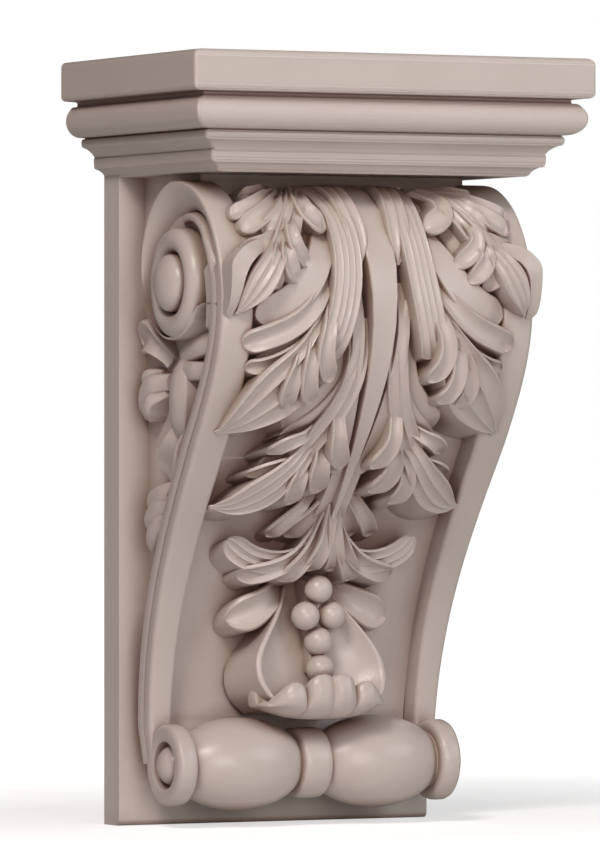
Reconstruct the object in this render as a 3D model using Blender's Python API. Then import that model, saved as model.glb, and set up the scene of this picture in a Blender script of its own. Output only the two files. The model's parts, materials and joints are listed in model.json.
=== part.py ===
"""One cast corbel: moulded cap, wall plate, scroll with volutes, roll and acanthus carving."""
import math
from dataclasses import dataclass

import bmesh
import bpy
import numpy as np
from mathutils import Vector

for leftover in list(bpy.data.objects):
    bpy.data.objects.remove(leftover, do_unlink=True)

# Overall size, metres
WIDTH = 0.203
DEPTH = 0.140
HEIGHT = 0.350

# Cap moulding, from the top down
SLAB_HEIGHT = 0.018
GROOVE_HEIGHT = 0.0025
OVOLO_HEIGHT = 0.0135
BEAD_HEIGHT = 0.004
COVE_HEIGHT = 0.005
FILLET_HEIGHT = 0.0045
BASE_HEIGHT = 0.0055
SLAB_EASE = 0.0015
LEVEL_DRAFT = 0.0002
COVE_SPAN = 0.7
GROOVE_INSET = 0.0065
OVOLO_INSET = 0.0045
OVOLO_SWELL = 0.006
BEAD_INSET = 0.0115
FILLET_INSET = 0.0165
BASE_INSET = 0.0218

# Wall plate
PLATE_THICKNESS = 0.016
PLATE_EDGE = 0.003

# Scroll body
BODY_HALF = 0.079
BODY_HALF_FOOT = 0.074
PANEL_RECESS = 0.012
RIB_WIDTH = 0.016
RIB_WIDTH_FOOT = 0.0115
RIB_DEPTH = 0.017
RIB_EDGE = 0.002
RIB_BEVEL = 0.004
RIB_STEP = 0.006
RIB_HOLLOW = 0.0017
FIELD_RECESS = 0.014
FIELD_RECESS_FOOT = 0.011
SCROLL_TOP_GAP = 0.003
SCROLL_NECK = 0.075
SCROLL_REACH = 0.122
SCROLL_SHOULDER = 0.057
WAIST_DROP = 0.054
WAIST_REACH = 0.042
FOOT_REACH = 0.0365
FOOT_PULL = 0.090

# Volutes at the two sides
EYE_SETBACK = 0.051
EYE_DROP = 0.0462
EYE_RADIUS = 0.013
EYE_RISE = 0.0058
RING_RADIUS = 0.019
RING_TUBE = 0.006
SCOOP_RADIUS = 0.034
SCOOP_RECESS = 0.006
TURN_FOOT_RADIUS = 0.024
TURN_TOP_RADIUS = 0.044
TURN_ANGLES = (268, 225, 180, 144, 118)
TURN_SPREAD = 0.85

# Roll at the foot
ROLL_REACH = 0.047
ROLL_RISE = 0.0287
WHEEL_RADIUS = 0.0187
WHEEL_THICKNESS = 0.010
WHEEL_HALF = 0.0725
WHEEL_DISH = 0.004
WHEEL_EDGE = 0.0015
HUB_TIP_RADIUS = 0.00374
HUB_RADIUS = 0.00785
DISH_RADIUS = 0.01029
RIM_RADIUS = 0.0116
EGG_RADIUS = 0.0213
EGG_NECK = 0.56
DISC_RADIUS = 0.016
DISC_EDGE_RADIUS = 0.0144
DISC_HALF = 0.0072
ROLL_LAP = 0.0002
FOOT_LAP = 0.00243

# Beads and calyx
BEAD_RADIUS = 0.0065
BEAD_REACH = 0.060
BEAD_BACKING = 0.004
BEAD_PLACES = ((0.0, 0.0), (-0.52, 0.93), (0.52, 0.93), (0.0, 1.86), (0.0, 2.82))
CALYX_HEIGHT = 0.070
CALYX_REACH = 0.040

# Carving
RELIEF = 0.006
WALL_DRAFT = 0.0012
WALL_DROP = 0.0035
ROOT_DEPTH = 0.005
EDGE_MARGIN = 0.0004
FINE_LOBE = 0.0062
LONG_LOBE = 0.12
STRAIGHT = 0.72

# Facets
CURVE_POINTS = 80
FIELD_ROWS = 17
RIB_ROWS_TOP = 6
RIB_ROWS_FRONT = 8
VOLUTE_SIDES = 12
ROLL_SIDES = 12
ARC_HANDLE = 0.5523
SHARP_ANGLE = 34.0

TOP = HEIGHT / 2
BOTTOM = -HEIGHT / 2
CAP_HEIGHT = (SLAB_HEIGHT + GROOVE_HEIGHT + OVOLO_HEIGHT + BEAD_HEIGHT + COVE_HEIGHT
              + FILLET_HEIGHT + BASE_HEIGHT)
CAP_BOTTOM = TOP - CAP_HEIGHT
CAP_LAP = BASE_HEIGHT / 2
PLATE_HALF = WIDTH / 2 - BASE_INSET
SCROLL_TOP = CAP_BOTTOM - SCROLL_TOP_GAP
ROLL_Y = -ROLL_REACH
ROLL_Z = BOTTOM + ROLL_RISE
SCROLL_FOOT = ROLL_Z + WHEEL_RADIUS - FOOT_LAP
EYE_Y = EYE_SETBACK - SCROLL_REACH
EYE_Z = SCROLL_TOP - EYE_DROP


def bezier(points, count):
    """Points along a cubic curve in the side plane."""
    start, pull, push, end = [np.array(point, dtype=float) for point in points]
    rows = []
    for k in range(count):
        s = k / (count - 1)
        rows.append((1 - s) ** 3 * start + 3 * (1 - s) ** 2 * s * pull
                    + 3 * (1 - s) * s ** 2 * push + s ** 3 * end)
    return rows


def front_profile():
    """The front of the ribs seen from the side, from under the cap to the foot."""
    shoulder = SCROLL_TOP - SCROLL_SHOULDER
    swell = SCROLL_REACH - SCROLL_NECK
    top = bezier([(-SCROLL_NECK, SCROLL_TOP),
                  (-SCROLL_NECK - swell * ARC_HANDLE, SCROLL_TOP),
                  (-SCROLL_REACH, shoulder + SCROLL_SHOULDER * ARC_HANDLE),
                  (-SCROLL_REACH, shoulder)], CURVE_POINTS)
    low = bezier([(-SCROLL_REACH, shoulder),
                  (-SCROLL_REACH, shoulder - WAIST_DROP),
                  (-WAIST_REACH, SCROLL_FOOT + FOOT_PULL),
                  (-FOOT_REACH, SCROLL_FOOT)], CURVE_POINTS * 2)
    return np.array(top + low[1:])


PROFILE = front_profile()
STEPS = np.linalg.norm(np.diff(PROFILE, axis=0), axis=1)
LENGTH = float(STEPS.sum())
SHARE = np.concatenate([[0.0], np.cumsum(STEPS)]) / LENGTH
TANGENT = np.gradient(PROFILE, SHARE, axis=0)
TANGENT = TANGENT / np.linalg.norm(TANGENT, axis=1)[:, None]
RECESS = FIELD_RECESS + (FIELD_RECESS_FOOT - FIELD_RECESS) * SHARE
FIELD = PROFILE + np.stack([-TANGENT[:, 1], TANGENT[:, 0]], axis=1) * RECESS[:, None]


def front_at(share, lift):
    """Depth and height of the rib front at a share of its length, lifted off it."""
    y = np.interp(share, SHARE, PROFILE[:, 0])
    z = np.interp(share, SHARE, PROFILE[:, 1])
    ty = np.interp(share, SHARE, TANGENT[:, 0])
    tz = np.interp(share, SHARE, TANGENT[:, 1])
    return float(y + tz * lift), float(z - ty * lift)


def field_depth(z):
    """Depth of the recessed field at a height."""
    return float(np.interp(z, FIELD[::-1, 1], FIELD[::-1, 0]))


def half_at(z):
    """Half width of the scroll at a height, narrowing below the middle."""
    down = min(max(z / SCROLL_FOOT, 0.0), 1.0)
    return BODY_HALF + (BODY_HALF_FOOT - BODY_HALF) * down


def panel_at(z):
    """Half width between the recessed side panels at a height."""
    return half_at(z) - PANEL_RECESS


def mix(start, end, share):
    """A point or a value part of the way between two."""
    if isinstance(start, tuple):
        return tuple(a + (b - a) * share for a, b in zip(start, end))
    return start + (end - start) * share


def finish_mesh(name, work):
    """An object in the scene for a finished mesh, its faces turned outward."""
    bmesh.ops.recalc_face_normals(work, faces=work.faces)
    mesh = bpy.data.meshes.new(name)
    work.to_mesh(mesh)
    work.free()
    mesh.shade_smooth()
    mesh.set_sharp_from_angle(angle=math.radians(SHARP_ANGLE))
    made = bpy.data.objects.new(name, mesh)
    bpy.context.collection.objects.link(made)
    return made


def loft(name, rings, cross_ends=False):
    """A solid made by extruding a face from ring to ring, all rings of equal length."""
    work = bmesh.new()
    first = [work.verts.new(point) for point in rings[0]]
    face = work.faces.new(first)
    for ring in rings[1:]:
        face = bmesh.ops.extrude_discrete_faces(work, faces=[face])["faces"][0]
        for vert, point in zip(face.verts, ring):
            vert.co = point
    last = list(face.verts)
    start = work.faces.new(first[::-1])
    if cross_ends:
        for row in (first, last):
            for k in range(1, len(row) // 2):
                bmesh.ops.connect_verts(work, verts=[row[k], row[-1 - k]])
    else:
        bmesh.ops.triangulate(work, faces=[start, face])
    return finish_mesh(name, work)


def lathe(name, profile, centre, sides):
    """A solid turned about an axis along X, from distances along it and radii."""
    work = bmesh.new()
    line = [work.verts.new((x, centre[0] - radius, centre[1])) for x, radius in profile]
    for low, high in zip(line, line[1:]):
        work.edges.new((low, high))
    bmesh.ops.spin(work, geom=work.verts[:] + work.edges[:], cent=(0.0, *centre), axis=(1.0, 0.0, 0.0),
                   angle=2 * math.pi, steps=sides, use_merge=True)
    rims = [edge for edge in work.edges if edge.is_boundary]
    bmesh.ops.holes_fill(work, edges=rims, sides=sides)
    return finish_mesh(name, work)


def cap_levels():
    """Heights of the cap moulding with how far each is set in from the slab."""
    fillet = CAP_BOTTOM + BASE_HEIGHT
    cove = fillet + FILLET_HEIGHT
    bead = cove + COVE_HEIGHT
    ovolo = bead + BEAD_HEIGHT
    groove = ovolo + OVOLO_HEIGHT
    slab = groove + GROOVE_HEIGHT
    levels = [(CAP_BOTTOM, BASE_INSET), (fillet - LEVEL_DRAFT, BASE_INSET), (fillet, FILLET_INSET),
              (cove, FILLET_INSET)]
    for turn in (45, 80):
        a = math.radians(turn)
        inset = mix(FILLET_INSET, BEAD_INSET, math.sin(a) * COVE_SPAN)
        levels.append((cove + COVE_HEIGHT * (1 - math.cos(a)), inset))
    levels += [(bead, BEAD_INSET), (ovolo, BEAD_INSET)]
    for turn in (-85, -43, 0, 43, 85):
        a = math.radians(turn)
        height = ovolo + OVOLO_HEIGHT / 2 * (1 + math.sin(a))
        levels.append((height, OVOLO_INSET + OVOLO_SWELL * (1 - math.cos(a))))
    levels += [(groove, GROOVE_INSET + SLAB_EASE), (slab, GROOVE_INSET)]
    levels += [(slab + SLAB_EASE / 4, SLAB_EASE), (slab + SLAB_EASE, 0.0)]
    levels += [(TOP - SLAB_EASE, 0.0), (TOP, SLAB_EASE)]
    return levels


def cap():
    """The moulded cap, returned round three sides and flat at the wall."""
    rings = []
    for height, inset in cap_levels():
        half = WIDTH / 2 - inset
        front = inset - DEPTH
        rings.append([(-half, 0.0, height), (-half, front, height),
                      (half, front, height), (half, 0.0, height)])
    return loft("cap", rings)


def plate():
    """The wall plate, its front edges eased."""
    front = -PLATE_THICKNESS
    eased = PLATE_HALF - PLATE_EDGE
    outline = [(-PLATE_HALF, 0.0), (-PLATE_HALF, front + PLATE_EDGE), (-eased, front),
               (eased, front), (PLATE_HALF, front + PLATE_EDGE), (PLATE_HALF, 0.0)]
    ends = (BOTTOM, CAP_BOTTOM + CAP_LAP)
    return loft("plate", [[(x, y, z) for x, y in outline] for z in ends])


def core():
    """The scroll between the ribs: the recessed field and the recessed side panels."""
    inside = -PLATE_THICKNESS / 2
    outline = [(inside, CAP_BOTTOM + CAP_LAP), (-SCROLL_NECK, CAP_BOTTOM + CAP_LAP)]
    for share in np.linspace(0.02, 1.0, FIELD_ROWS):
        outline.append((float(np.interp(share, SHARE, FIELD[:, 0])),
                        float(np.interp(share, SHARE, FIELD[:, 1]))))
    outline.append((ROLL_Y + DISC_RADIUS / 2, ROLL_Z - DISC_RADIUS / 2))
    outline.append((inside, ROLL_Z - DISC_RADIUS / 2))
    return loft("corbel", [[(side * panel_at(z), y, z) for y, z in outline] for side in (-1, 1)])


def volute_edges():
    """Outer and inner edge of a rib where it winds round the eye, from below it to the top."""
    rows = []
    start, end = TURN_ANGLES[0], TURN_ANGLES[-1]
    for turn in TURN_ANGLES:
        a = math.radians(turn)
        way = (-math.cos(a), math.sin(a))
        spread = ((start - turn) / (start - end)) ** TURN_SPREAD
        radius = mix(TURN_FOOT_RADIUS, TURN_TOP_RADIUS, spread)
        inner = max(radius - RIB_DEPTH / 2, RING_RADIUS)
        rows.append([(EYE_Y + way[0] * r, EYE_Z + way[1] * r) for r in (radius, inner)])
    return rows


def front_edges():
    """Outer and inner edge of a rib down the front of the scroll."""
    top = np.linspace(0.0, 0.30, RIB_ROWS_TOP)
    down = np.linspace(0.38, 1.0, RIB_ROWS_FRONT)
    return [(share, front_at(share, 0.0), front_at(share, -RIB_DEPTH)) for share in (*top, *down)]


def rib_ring(side, outer, inner, width):
    """The section of a rib between its outer and inner edge."""
    half = half_at(outer[1])
    eased = mix(outer, inner, RIB_EDGE / RIB_DEPTH)
    step = mix(outer, inner, 1 - RIB_STEP / RIB_DEPTH)
    back = mix(outer, inner, 1 - RIB_HOLLOW / RIB_DEPTH)
    root = half - PANEL_RECESS - ROOT_DEPTH
    return [(side * (half - width), *outer), (side * (half - RIB_EDGE), *outer),
            (side * half, *eased), (side * half, *step), (side * (half - RIB_BEVEL), *inner),
            (side * root, *inner), (side * (half - width), *back)]


def rib_foot(side):
    """The last section of a rib, buried in the end wheel."""
    outer = WHEEL_HALF - WHEEL_EDGE
    inner = WHEEL_HALF - WHEEL_THICKNESS + WHEEL_EDGE
    front = RIB_EDGE - FOOT_REACH
    back = RIB_DEPTH - FOOT_REACH
    spots = [(inner, front), (outer - RIB_EDGE, front), (outer, front + RIB_EDGE),
             (outer, back - RIB_BEVEL), (outer - RIB_BEVEL, back), (inner - RIB_EDGE, back),
             (inner, back - RIB_EDGE)]
    return [(side * x, y, ROLL_Z) for x, y in spots]


def rib(side):
    """One rib: round the volute, over the top and down the front into the end wheel."""
    rings = [rib_ring(side, outer, inner, RIB_WIDTH) for outer, inner in volute_edges()]
    for share, outer, inner in front_edges():
        width = mix(RIB_WIDTH, RIB_WIDTH_FOOT, max(0.0, share * 2 - 1))
        rings.append(rib_ring(side, outer, inner, width))
    rings.append(rib_foot(side))
    return loft("rib", rings)


def volute(side):
    """The scooped disc, ring and domed eye at one side of the scroll."""
    scoop = BODY_HALF - SCOOP_RECESS
    profile = [(BODY_HALF - PANEL_RECESS - ROOT_DEPTH, SCOOP_RADIUS), (scoop, SCOOP_RADIUS),
               (scoop, RING_RADIUS + RING_TUBE - EDGE_MARGIN)]
    for turn in (0, 60, 120, 178):
        a = math.radians(turn)
        profile.append((BODY_HALF + RING_TUBE * math.sin(a), RING_RADIUS + RING_TUBE * math.cos(a)))
    profile.append((scoop, EYE_RADIUS - EDGE_MARGIN))
    for turn in (0, 45, 80):
        a = math.radians(turn)
        profile.append((BODY_HALF + EYE_RISE * math.sin(a), (EYE_RADIUS - EDGE_MARGIN) * math.cos(a)))
    return lathe("volute", [(side * x, radius) for x, radius in profile], (EYE_Y, EYE_Z), VOLUTE_SIDES)


def wheel_profile():
    """One end wheel, from its dished outer face to the egg."""
    inner = WHEEL_HALF - WHEEL_THICKNESS
    return [(-WHEEL_HALF, HUB_TIP_RADIUS), (-WHEEL_HALF + WHEEL_EDGE, HUB_RADIUS),
            (-WHEEL_HALF + WHEEL_DISH, DISH_RADIUS), (-WHEEL_HALF, RIM_RADIUS),
            (-WHEEL_HALF, WHEEL_RADIUS - WHEEL_EDGE), (-WHEEL_HALF + WHEEL_EDGE, WHEEL_RADIUS),
            (-inner - WHEEL_EDGE, WHEEL_RADIUS), (-inner, WHEEL_RADIUS - WHEEL_EDGE)]


def egg_profile():
    """One egg, between the wheel and the disc."""
    outer = WHEEL_HALF - WHEEL_THICKNESS - ROLL_LAP
    half = (outer - DISC_HALF) / 2
    middle = outer - half
    reach = half / math.sqrt(1 - EGG_NECK ** 2)
    rows = []
    for k in range(6):
        off = mix(-half, half, k / 5)
        rows.append((off - middle, EGG_RADIUS * math.sqrt(1 - (off / reach) ** 2)))
    return rows


def roll():
    """The turned roll at the foot: end wheels, two eggs and a disc between them."""
    disc = [(-DISC_HALF + ROLL_LAP, DISC_EDGE_RADIUS), (-DISC_HALF / 2, DISC_RADIUS)]
    left = wheel_profile() + egg_profile() + disc
    right = [(-x, radius) for x, radius in reversed(left)]
    return lathe("roll", left + right, (ROLL_Y, ROLL_Z), ROLL_SIDES)


@dataclass(frozen=True)
class Lobe:
    """One carved lobe: where it starts, bends and ends, its half width, its lifts and its flutes."""
    root: tuple
    bend: tuple
    tip: tuple
    half_width: float
    lifts: tuple
    flutes: int = 0


class FrontSurface:
    """The scroll front: places are across it and along its length."""
    across = BODY_HALF
    along = LENGTH
    rise = FIELD_RECESS

    def point(self, spot, lift):
        """A point lifted off the rib front, kept inside the sides."""
        y, z = front_at(spot[1] / LENGTH, lift)
        limit = half_at(z) - EDGE_MARGIN
        return Vector((min(max(spot[0], -limit), limit), y, z))

    def foot(self, spot, edge, outward):
        """The foot of a carved wall, behind the recessed field."""
        z = edge.z - WALL_DROP
        limit = half_at(z) - EDGE_MARGIN * 2
        x = min(max(edge.x + outward[0] * WALL_DRAFT, -limit), limit)
        return Vector((x, max(field_depth(z), edge.y) + ROOT_DEPTH, z))


class CalyxSurface:
    """The space before the scroll foot: places are across it and up from the foot."""
    across = BODY_HALF
    along = CALYX_HEIGHT
    rise = CALYX_REACH

    def point(self, spot, lift):
        """A point straight out from the foot of the ribs."""
        return Vector((spot[0], -FOOT_REACH - lift, SCROLL_FOOT + spot[1]))

    def foot(self, spot, edge, outward):
        """The foot of a carved wall, inside the scroll."""
        z = edge.z - WALL_DROP
        depth = field_depth(max(z, SCROLL_FOOT)) + ROOT_DEPTH
        return Vector((edge.x + outward[0] * WALL_DRAFT, depth, z))


class PanelSurface:
    """A recessed side panel: places are forward of the eye and below it."""
    across = RING_RADIUS
    along = SCROLL_SHOULDER
    rise = PANEL_RECESS

    def __init__(self, side):
        """Keep which side of the corbel the panel is on."""
        self.side = side

    def point(self, spot, lift):
        """A point lifted off the panel."""
        z = EYE_Z - spot[1]
        return Vector((self.side * (panel_at(z) + lift), EYE_Y - spot[0], z))

    def foot(self, spot, edge, outward):
        """The foot of a carved wall, inside the panel."""
        depth = self.side * (panel_at(edge.z) - ROOT_DEPTH)
        return Vector((depth, edge.y - outward[0] * WALL_DRAFT, edge.z - outward[1] * WALL_DRAFT))


def cross_section(half_width, flutes, at_end):
    """Shares across a lobe with their heights: rims, ridges and the channel between them."""
    if half_width < FINE_LOBE:
        return [(-1.0, 0.70), (0.0, 1.05), (1.0, 0.70)]
    if flutes <= 1:
        return [(-1.0, 0.72), (-0.5, 1.0), (0.5, 1.0), (1.0, 0.72)]
    if at_end:
        return [(-1.0, 0.72), (-0.6, 0.95), (-0.1, 1.04), (0.45, 0.98), (1.0, 0.72)]
    return [(-1.0, 0.72), (-0.6, 1.0), (-0.1, 0.80), (0.45, 1.04), (1.0, 0.72)]


def stations(half_width, length, straight):
    """Shares along a lobe with its width and its crown there."""
    if length > LONG_LOBE:
        count = 8
        rows = [(k / count, 0.8 + 0.2 * math.sin(math.pi * k / count), 1.0) for k in range(count)]
        return rows + [(1.0, 0.5, 0.8)]
    if half_width < FINE_LOBE and straight:
        return [(0.0, 0.6, 1.0), (0.66, 1.0, 1.0), (1.0, 0.36, 0.75)]
    if half_width < FINE_LOBE:
        return [(0.0, 0.6, 1.0), (0.4, 0.98, 1.0), (0.8, 0.85, 0.96), (1.0, 0.28, 0.72)]
    return [(0.0, 0.55, 1.0), (0.32, 0.85, 1.0), (0.64, 1.0, 1.0), (0.9, 0.7, 0.94), (1.0, 0.25, 0.72)]


def carve(name, lobe, surface, side=1):
    """A lobe swept along its bent spine, its walls running back into the ground."""
    scale = np.array([side * surface.across, surface.along])
    root, bend, tip = [np.array(place) * scale for place in (lobe.root, lobe.bend, lobe.tip)]
    half_width = lobe.half_width * surface.across
    lifts = [lift * surface.rise for lift in lobe.lifts]
    legs = [(bend - root) / np.linalg.norm(bend - root), (tip - bend) / np.linalg.norm(tip - bend)]
    straight = float(legs[0] @ legs[1]) > STRAIGHT
    length = float(np.linalg.norm(tip - root))
    rings = []
    for s, swell, crown in stations(half_width, length, straight):
        blend = ((1 - s) ** 2, 2 * s * (1 - s), s * s)
        centre = blend[0] * root + blend[1] * bend + blend[2] * tip
        lift = sum(part * weight for part, weight in zip(lifts, blend))
        along = (1 - s) * (bend - root) + s * (tip - bend)
        along = along / np.linalg.norm(along)
        across = np.array([-along[1], along[0]])
        reach = half_width * swell
        ring = []
        for share, height in cross_section(half_width, lobe.flutes, s in (0.0, 1.0)):
            ring.append(surface.point(centre + across * share * reach, lift + RELIEF * (height * crown - 1)))
        first = surface.foot(centre - across * reach, ring[0], -across)
        last = surface.foot(centre + across * reach, ring[-1], across)
        rings.append([first, *ring, last])
    return loft(name, rings, cross_ends=True)


# The carving below gives places and widths as shares of the form that carries it
MIDRIB = Lobe((0.0, 0.030), (0.0, 0.350), (0.0, 0.700), 0.066, (0.05, 0.25, 0.35))

BLADES = [
    Lobe((0.460, 0.060), (0.600, 0.130), (0.700, 0.235), 0.180, (0.10, 0.30, 0.25)),
    Lobe((0.200, 0.060), (0.330, 0.280), (0.640, 0.440), 0.190, (-0.10, 0.10, 0.05)),
    Lobe((0.160, 0.300), (0.200, 0.470), (0.460, 0.590), 0.150, (-0.10, 0.10, 0.05)),
]

STEMS = [
    Lobe((0.160, 0.050), (0.150, 0.150), (0.105, 0.270), 0.046, (0.30, 0.50, 0.30)),
    Lobe((0.150, 0.120), (0.130, 0.230), (0.125, 0.430), 0.036, (0.40, 0.55, 0.50)),
    Lobe((0.215, 0.072), (0.200, 0.230), (0.460, 0.415), 0.086, (0.35, 0.50, 0.45), 3),
    Lobe((0.130, 0.300), (0.160, 0.460), (0.400, 0.580), 0.072, (0.35, 0.50, 0.40), 2),
]

TOP_LEAF = [
    Lobe((0.550, 0.110), (0.660, 0.155), (0.775, 0.168), 0.064, (0.60, 0.85, 0.45), 1),
    Lobe((0.555, 0.100), (0.750, 0.145), (0.910, 0.158), 0.055, (0.60, 0.80, 0.35), 1),
    Lobe((0.550, 0.085), (0.720, 0.105), (0.900, 0.118), 0.066, (0.55, 0.70, 0.30)),
    Lobe((0.660, 0.180), (0.900, 0.196), (0.960, 0.305), 0.076, (0.75, 0.95, 0.20)),
    Lobe((0.650, 0.180), (0.810, 0.225), (0.905, 0.287), 0.092, (0.75, 0.95, 0.45), 3),
    Lobe((0.615, 0.180), (0.690, 0.220), (0.640, 0.260), 0.058, (0.75, 0.95, 0.50), 1),
    Lobe((0.590, 0.175), (0.625, 0.222), (0.532, 0.250), 0.060, (0.70, 0.90, 0.55), 1),
    Lobe((0.540, 0.145), (0.570, 0.190), (0.445, 0.224), 0.054, (0.60, 0.80, 0.45), 1),
    Lobe((0.410, 0.095), (0.465, 0.145), (0.333, 0.170), 0.060, (0.50, 0.70, 0.45), 1),
]

MIDDLE_LEAF = [
    Lobe((0.270, 0.100), (0.430, 0.270), (0.828, 0.298), 0.100, (0.25, 0.45, 0.15)),
    Lobe((0.380, 0.205), (0.530, 0.305), (0.870, 0.347), 0.068, (0.30, 0.50, 0.15), 1),
    Lobe((0.420, 0.270), (0.620, 0.357), (0.858, 0.378), 0.046, (0.30, 0.45, 0.15), 1),
    Lobe((0.430, 0.300), (0.750, 0.380), (0.890, 0.490), 0.128, (0.40, 0.65, 0.20), 3),
    Lobe((0.445, 0.340), (0.510, 0.390), (0.550, 0.443), 0.050, (0.45, 0.70, 0.55), 1),
    Lobe((0.410, 0.330), (0.410, 0.385), (0.430, 0.434), 0.050, (0.45, 0.70, 0.60), 1),
    Lobe((0.370, 0.305), (0.330, 0.350), (0.302, 0.394), 0.054, (0.45, 0.75, 0.60), 1),
]

LOWER_LEAF = [
    Lobe((0.330, 0.460), (0.480, 0.480), (0.580, 0.528), 0.060, (0.30, 0.45, 0.20), 1),
    Lobe((0.420, 0.520), (0.560, 0.535), (0.675, 0.560), 0.050, (0.25, 0.35, 0.10), 1),
    Lobe((0.290, 0.500), (0.520, 0.580), (0.768, 0.640), 0.112, (0.35, 0.60, 0.20), 2),
    Lobe((0.310, 0.530), (0.335, 0.580), (0.318, 0.626), 0.052, (0.35, 0.55, 0.40), 1),
    Lobe((0.235, 0.500), (0.215, 0.550), (0.163, 0.605), 0.062, (0.40, 0.65, 0.45), 1),
    Lobe((0.180, 0.450), (0.130, 0.505), (0.078, 0.553), 0.046, (0.45, 0.85, 0.75)),
    Lobe((0.320, 0.610), (0.370, 0.655), (0.404, 0.693), 0.040, (0.00, 0.05, -0.10)),
    Lobe((0.150, 0.620), (0.200, 0.665), (0.265, 0.691), 0.048, (0.00, 0.05, -0.10)),
]

FOOT_LEAF = [
    Lobe((0.050, 0.675), (0.400, 0.760), (0.690, 0.670), 0.084, (0.25, 0.45, 0.10), 1),
    Lobe((0.180, 0.712), (0.370, 0.730), (0.545, 0.757), 0.060, (0.25, 0.45, 0.15), 1),
    Lobe((0.120, 0.700), (0.220, 0.730), (0.257, 0.768), 0.062, (0.30, 0.50, 0.20), 1),
    Lobe((0.030, 0.690), (0.080, 0.715), (0.095, 0.752), 0.058, (0.35, 0.55, 0.25), 1),
]

CALYX = [
    Lobe((0.10, 1.00), (0.36, 0.97), (0.50, 0.60), 0.105, (0.25, 0.50, 0.30), 1),
    Lobe((0.14, 0.79), (0.52, 0.57), (0.42, 0.06), 0.105, (0.30, 0.75, 0.70)),
    Lobe((0.26, 0.57), (0.34, 0.31), (0.27, 0.03), 0.095, (0.45, 0.90, 0.95), 1),
    Lobe((0.08, 0.57), (0.11, 0.31), (0.09, 0.00), 0.092, (0.45, 0.92, 1.00), 1),
]

SIDE_LEAF = [
    Lobe((-0.47, 0.22), (-1.00, 0.45), (-1.32, 0.75), 0.34, (0.40, 0.60, 0.40), 1),
    Lobe((0.37, 0.40), (0.58, 0.54), (0.26, 0.75), 0.34, (0.40, 0.55, 0.40), 1),
    Lobe((-0.26, 0.44), (-0.47, 0.75), (-0.26, 1.17), 0.34, (0.40, 0.60, 0.50), 1),
    Lobe((-0.26, 0.89), (-0.37, 1.28), (-0.79, 1.70), 0.50, (0.45, 0.68, 0.45), 2),
    Lobe((0.16, 0.82), (0.37, 0.89), (0.68, 0.91), 0.26, (0.40, 0.60, 0.40)),
    Lobe((-0.95, 1.79), (-1.16, 1.98), (-1.42, 2.26), 0.37, (0.40, 0.65, 0.40), 1),
]


def front_carving():
    """The midrib and, on both sides of it, the stems and leaves of the scroll front."""
    surface = FrontSurface()
    parts = [carve("midrib", MIDRIB, surface)]
    for lobe in BLADES + STEMS + TOP_LEAF + MIDDLE_LEAF + LOWER_LEAF + FOOT_LEAF:
        for side in (-1, 1):
            parts.append(carve("leaf", lobe, surface, side))
    return parts


def side_carving():
    """The small leaves on the two side panels."""
    return [carve("side_leaf", lobe, PanelSurface(side)) for side in (-1, 1) for lobe in SIDE_LEAF]


def calyx():
    """The leafy cup above the roll."""
    surface = CalyxSurface()
    return [carve("calyx", lobe, surface, side) for lobe in CALYX for side in (-1, 1)]


def bead(across, z):
    """One bead in front of the scroll foot."""
    work = bmesh.new()
    bmesh.ops.create_uvsphere(work, u_segments=8, v_segments=5, radius=BEAD_RADIUS)
    bmesh.ops.translate(work, verts=work.verts, vec=(across, -BEAD_REACH, z))
    return finish_mesh("bead", work)


def beads():
    """The five beads that drop into the calyx, with the web that backs them."""
    step = BEAD_RADIUS * 2
    first = SCROLL_FOOT + CALYX_HEIGHT - step / 2
    parts = [bead(across * step, first - down * step) for across, down in BEAD_PLACES]
    back = -FOOT_REACH + RIB_DEPTH
    front = BEAD_BACKING / 3 - BEAD_REACH
    section = [(-BEAD_BACKING, back), (-BEAD_BACKING, front), (BEAD_BACKING, front), (BEAD_BACKING, back)]
    ends = (first + BEAD_BACKING / 2, first - step * 3)
    parts.append(loft("bead_web", [[(x, y, z) for x, y in section] for z in ends]))
    return parts


def unite(target, parts):
    """Unite every part with the target as one casting."""
    operands = bpy.data.collections.new("operands")
    bpy.context.scene.collection.children.link(operands)
    for part in parts:
        part.hide_render = True
        part.display_type = "WIRE"
        bpy.context.collection.objects.unlink(part)
        operands.objects.link(part)
    union = target.modifiers.new("union", "BOOLEAN")
    union.operation = "UNION"
    union.operand_type = "COLLECTION"
    union.collection = operands
    union.solver = "EXACT"


def moulded_skin():
    """The pale satin skin of the casting."""
    skin = bpy.data.materials.new("moulded_skin")
    skin.use_nodes = True
    shader = skin.node_tree.nodes["Principled BSDF"]
    shader.inputs["Base Color"].default_value = (0.62, 0.53, 0.49, 1.0)
    shader.inputs["Roughness"].default_value = 0.45
    shader.inputs["Metallic"].default_value = 0.0
    return skin


def corbel():
    """The whole corbel as one solid, its back flat in the plane of the wall."""
    body = core()
    pieces = [cap(), plate(), roll()]
    for side in (-1, 1):
        pieces += [rib(side), volute(side)]
    pieces += front_carving() + side_carving() + calyx() + beads()
    unite(body, pieces)
    body.data.materials.append(moulded_skin())
    return body


corbel()
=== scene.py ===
"""A moulded polyurethane corbel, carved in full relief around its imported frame."""
import json
import logging
import math
from dataclasses import dataclass, field
from enum import Enum

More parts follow.
